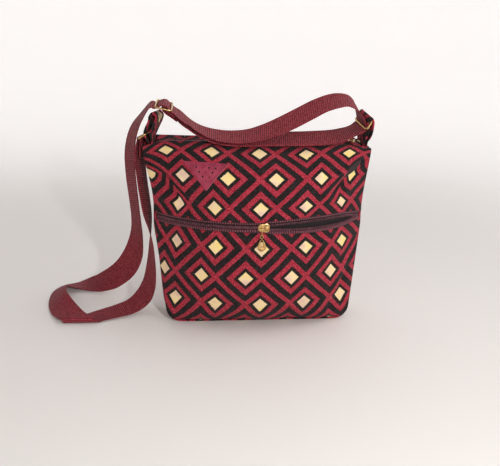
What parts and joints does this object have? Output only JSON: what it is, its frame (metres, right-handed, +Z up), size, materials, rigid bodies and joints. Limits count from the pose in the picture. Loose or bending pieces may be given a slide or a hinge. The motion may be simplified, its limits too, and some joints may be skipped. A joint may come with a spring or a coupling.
{
  "type": "crossbody bag",
  "caption": "Fabric crossbody bag with a gusset, a zipped front pocket, a zipped top, sewn end tabs with metal rings and an adjustable webbing strap.",
  "frame": {"origin": "centre of the flat base panel's underside", "axes": "+Z up from the base, +X to the bag's right as seen from the front, the front faces -Y"},
  "size_m": [0.501, 0.232, 0.3382],
  "materials": {
    "woven_fabric": "thick woven upholstery fabric, crimson with black and cream diamonds",
    "lining_fabric": "thin plain dark lining cloth",
    "zipper_tape": "dark plum woven zipper tape",
    "zipper_coil": "dark plum nylon coil",
    "gold_metal": "pale gold plated metal, polished",
    "leather": "smooth crimson leather with a raw cut edge",
    "webbing": "plum webbing with fine crosswise ribs"
  },
  "bodies": {
    "bag": {"base_panel": "woven_fabric", "gusset_left": "woven_fabric", "gusset_right": "woven_fabric", "front_panel_lower": "woven_fabric", "front_panel_upper": "woven_fabric", "back_panel": "woven_fabric", "top_strip_front": "woven_fabric", "top_strip_back": "woven_fabric", "main_lining": "lining_fabric", "pocket_lining": "lining_fabric", "leather_patch": "leather", "front_zip_tape_upper": "zipper_tape", "front_zip_tape_lower": "zipper_tape", "front_zip_coil_upper": "zipper_coil", "front_zip_coil_lower": "zipper_coil", "top_zip_tape_front": "zipper_tape", "top_zip_tape_back": "zipper_tape", "top_zip_coil_front": "zipper_coil", "top_zip_coil_back": "zipper_coil", "tab_left": "woven_fabric", "tab_right": "woven_fabric", "strap": "webbing"},
    "front_slider": {"front_zip_slider": "gold_metal"},
    "front_pull_link": {"front_zip_pull_link": "gold_metal"},
    "front_pull_drop": {"front_zip_pull_drop": "gold_metal"},
    "top_slider": {"top_zip_slider": "gold_metal"},
    "top_pull_link": {"top_zip_pull_link": "gold_metal"},
    "top_pull_drop": {"top_zip_pull_drop": "gold_metal"},
    "left_ring": {"ring_left": "gold_metal"},
    "right_ring": {"ring_right": "gold_metal"},
    "adjuster": {"strap_adjuster": "gold_metal"}
  },
  "joints": [
    {"name": "front_slider_run", "type": "hinge", "parent": "bag", "child": "front_slider", "pos_m": [0, 0.10594, 0.167], "axis": [0, 0, 1], "range_deg": [-43.8, 43], "deforming": ["front_zip_tape_upper", "front_zip_tape_lower", "front_zip_coil_upper", "front_zip_coil_lower"]},
    {"name": "front_link_lift", "type": "hinge", "parent": "front_slider", "child": "front_pull_link", "pos_m": [-0.00056, -0.09794, 0.167], "axis": [-0.9999, -0.011, 0], "range_deg": [0, 150]},
    {"name": "front_drop_swing", "type": "hinge", "parent": "front_pull_link", "child": "front_pull_drop", "pos_m": [-0.00056, -0.09814, 0.156], "axis": [0.011, -0.9999, 0], "range_deg": [-35, 35]},
    {"name": "top_slider_run", "type": "slide", "parent": "bag", "child": "top_slider", "axis": [1, 0, 0], "range_m": [-0.268, 0], "deforming": ["top_zip_tape_front", "top_zip_tape_back", "top_zip_coil_front", "top_zip_coil_back", "strap"]},
    {"name": "top_link_lift", "type": "hinge", "parent": "top_slider", "child": "top_pull_link", "pos_m": [0.1317, 0, 0.275], "axis": [-1, 0, 0], "range_deg": [0, 150], "deforming": ["strap"]},
    {"name": "top_drop_swing", "type": "hinge", "parent": "top_pull_link", "child": "top_pull_drop", "pos_m": [0.1317, -0.011, 0.2752], "axis": [0, -0.1045, 0.9945], "range_deg": [-35, 35], "deforming": ["strap"]},
    {"name": "left_ring_swing", "type": "hinge", "parent": "bag", "child": "left_ring", "pos_m": [-0.15413, -0.00122, 0.28327], "axis": [0.2, 0.9798, 0], "range_deg": [0, 75], "deforming": ["strap"]},
    {"name": "right_ring_swing", "type": "hinge", "parent": "bag", "child": "right_ring", "pos_m": [0.15461, -0.00606, 0.3048], "axis": [-0.1703, 0.9616, 0.2153], "range_deg": [0, 75], "deforming": ["strap"]},
    {"name": "adjuster_slide", "type": "slide", "parent": "bag", "child": "adjuster", "axis": [-0.9735, -0.0401, 0.2253], "range_m": [0, 0.015], "deforming": ["strap"]}
  ]
}
